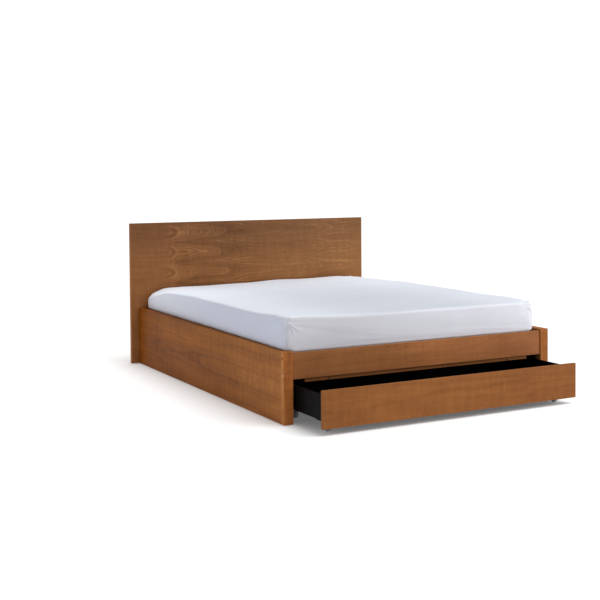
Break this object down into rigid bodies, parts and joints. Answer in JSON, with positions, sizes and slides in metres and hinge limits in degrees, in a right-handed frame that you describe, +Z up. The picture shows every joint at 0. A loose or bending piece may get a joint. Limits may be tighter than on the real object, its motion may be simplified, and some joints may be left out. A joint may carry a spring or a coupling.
{
  "type": "platform bed",
  "caption": "Low platform bed with a flat panel headboard, slatted deck, foam mattress and a full-width storage drawer that rolls out from under the foot end on casters.",
  "frame": {"origin": "on the floor, under the middle of the whole bed as it stands with its drawer partly open", "axes": "+Z up, the headboard stands at +Y, the foot end and the drawer's front face -Y, +X to the right when one looks from the foot to the headboard"},
  "size_m": [1.752, 2.4086, 0.917],
  "materials": {
    "walnut_veneer": "satin",
    "black_laminate": "satin",
    "stained_pine": "matte",
    "zinc_steel": "satin",
    "grey_wheel": "satin",
    "nylon": "satin",
    "brown_cap": "satin",
    "felt": "matte",
    "webbing": "matte",
    "mattress_ticking": "matte",
    "sheet_cotton": "matte"
  },
  "bodies": {
    "bed_frame": {"bay_back_panel": "black_laminate", "beam_hangers": "zinc_steel", "bracket_screws": "zinc_steel", "centre_beam": "stained_pine", "centre_leg": "stained_pine", "corner_brackets": "zinc_steel", "dowels": "stained_pine", "drawer_stop_batten": "walnut_veneer", "floor_glides": "nylon", "foot_rail": "walnut_veneer", "frame_screws": "zinc_steel", "head_rail": "walnut_veneer", "headboard_barrel_nuts": "zinc_steel", "headboard_bolts": "zinc_steel", "headboard_panel": "walnut_veneer", "left_bay_liner": "black_laminate", "left_side_panel": "walnut_veneer", "left_slat_ledger": "stained_pine", "rail_barrel_nuts": "zinc_steel", "rail_bolt_caps": "brown_cap", "rail_bolts": "zinc_steel", "right_bay_liner": "black_laminate", "right_side_panel": "walnut_veneer", "right_slat_ledger": "stained_pine", "slat_01": "stained_pine", "slat_02": "stained_pine", "slat_03": "stained_pine", "slat_04": "stained_pine", "slat_05": "stained_pine", "slat_06": "stained_pine", "slat_07": "stained_pine", "slat_08": "stained_pine", "slat_09": "stained_pine", "slat_10": "stained_pine", "slat_11": "stained_pine", "slat_12": "stained_pine", "slat_straps": "webbing", "stop_bumpers": "felt"},
    "drawer": {"drawer_back": "black_laminate", "drawer_bottom_left": "black_laminate", "drawer_bottom_right": "black_laminate", "drawer_centre_bearer": "black_laminate", "drawer_corner_blocks": "black_laminate", "drawer_front": "walnut_veneer", "drawer_guide_buttons": "nylon", "drawer_left_side": "black_laminate", "drawer_right_side": "black_laminate", "drawer_screws": "zinc_steel", "caster_axles": "zinc_steel", "caster_blocks": "black_laminate", "caster_bracket_front_left": "zinc_steel", "caster_bracket_front_right": "zinc_steel", "caster_bracket_rear_left": "zinc_steel", "caster_bracket_rear_right": "zinc_steel", "caster_screws": "zinc_steel"},
    "wheel_front_left": {"wheel_front_left": "grey_wheel"},
    "wheel_front_right": {"wheel_front_right": "grey_wheel"},
    "wheel_rear_left": {"wheel_rear_left": "grey_wheel"},
    "wheel_rear_right": {"wheel_rear_right": "grey_wheel"},
    "mattress": {"mattress": "mattress_ticking"}
  },
  "joints": [
    {"name": "drawer_slide", "type": "slide", "parent": "bed_frame", "child": "drawer", "axis": [0, -1, 0], "range_m": [-0.2932, 0.15]},
    {"name": "mattress_lift", "type": "slide", "parent": "bed_frame", "child": "mattress", "axis": [0, 0, 1], "range_m": [0, 0.3]},
    {"name": "wheel_front_left_spin", "type": "hinge", "parent": "drawer", "child": "wheel_front_left", "pos_m": [-0.694, -1.1167, 0.02], "axis": [1, 0, 0], "continuous": true},
    {"name": "wheel_front_right_spin", "type": "hinge", "parent": "drawer", "child": "wheel_front_right", "pos_m": [0.694, -1.1167, 0.02], "axis": [1, 0, 0], "continuous": true},
    {"name": "wheel_rear_left_spin", "type": "hinge", "parent": "drawer", "child": "wheel_rear_left", "pos_m": [-0.694, -0.7807, 0.02], "axis": [1, 0, 0], "continuous": true},
    {"name": "wheel_rear_right_spin", "type": "hinge", "parent": "drawer", "child": "wheel_rear_right", "pos_m": [0.694, -0.7807, 0.02], "axis": [1, 0, 0], "continuous": true}
  ],
  "couplings": [
    {"joint": "wheel_front_left_spin", "follows": "drawer_slide", "rad_per_m": 50},
    {"joint": "wheel_front_right_spin", "follows": "drawer_slide", "rad_per_m": 50},
    {"joint": "wheel_rear_left_spin", "follows": "drawer_slide", "rad_per_m": 50},
    {"joint": "wheel_rear_right_spin", "follows": "drawer_slide", "rad_per_m": 50}
  ]
}
